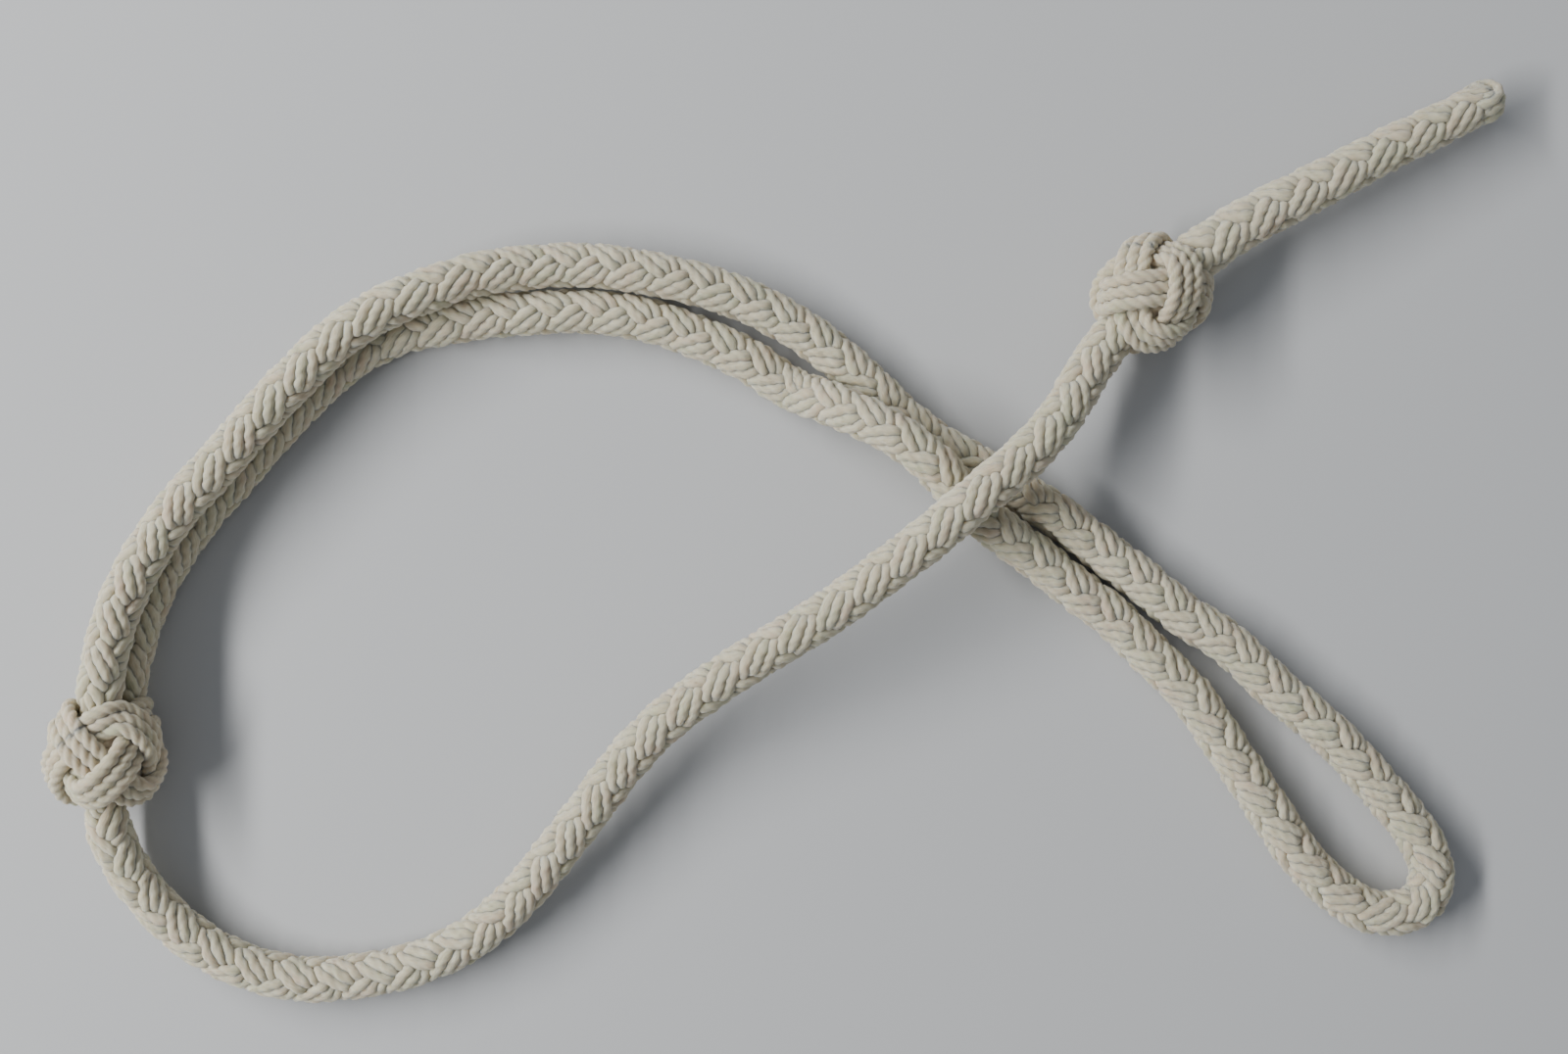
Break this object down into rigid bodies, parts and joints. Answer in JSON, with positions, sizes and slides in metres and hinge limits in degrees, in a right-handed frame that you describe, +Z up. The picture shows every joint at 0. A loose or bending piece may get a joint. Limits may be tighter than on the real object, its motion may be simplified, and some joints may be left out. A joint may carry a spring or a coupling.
{
  "type": "rope halter",
  "caption": "Hand-braided round cotton rope halter with a long doubled eye, a base knot, a ball toggle knot and a short tail with a rounded end.",
  "frame": {"origin": "under the middle of the outline, on the surface that the rope lies on", "axes": "+Z up from the surface; +X from the base knot towards the tail's tip; +Y towards the side that the eye's legs bow out to"},
  "size_m": [0.3622, 0.2304, 0.0306],
  "materials": {
    "braid_cotton": "matte, soft twisted cotton cords with a short fuzz",
    "knot_cotton": "matte, softly twisted cotton cord wound into a ball",
    "twine": "matte waxed cotton twine"
  },
  "bodies": {
    "halter": {"base_knot": "knot_cotton", "base_seizing": "twine", "eye_leg_outer": "braid_cotton", "eye_leg_inner": "braid_cotton", "standing_braid": "braid_cotton"},
    "eye_end": {"eye_end_outer": "braid_cotton", "eye_end_inner": "braid_cotton", "eye_bight": "braid_cotton"},
    "free_end": {"free_end_braid": "braid_cotton", "toggle_knot": "knot_cotton"},
    "tail": {"tail_braid": "braid_cotton", "tail_crown": "braid_cotton"}
  },
  "joints": [
    {"name": "eye_bend", "type": "hinge", "parent": "halter", "child": "eye_end", "pos_m": [0.07997, -0.00599, 0.0063], "axis": [0, 0, 1], "range_deg": [-20, 20]},
    {"name": "free_end_bend", "type": "hinge", "parent": "halter", "child": "free_end", "pos_m": [0.073, 0.03357, 0.0188], "axis": [0, 0, 1], "range_deg": [-25, 25]},
    {"name": "tail_bend", "type": "hinge", "parent": "free_end", "child": "tail", "pos_m": [0.10673, 0.07222, 0.013], "axis": [0, 0, 1], "range_deg": [-30, 30]}
  ]
}
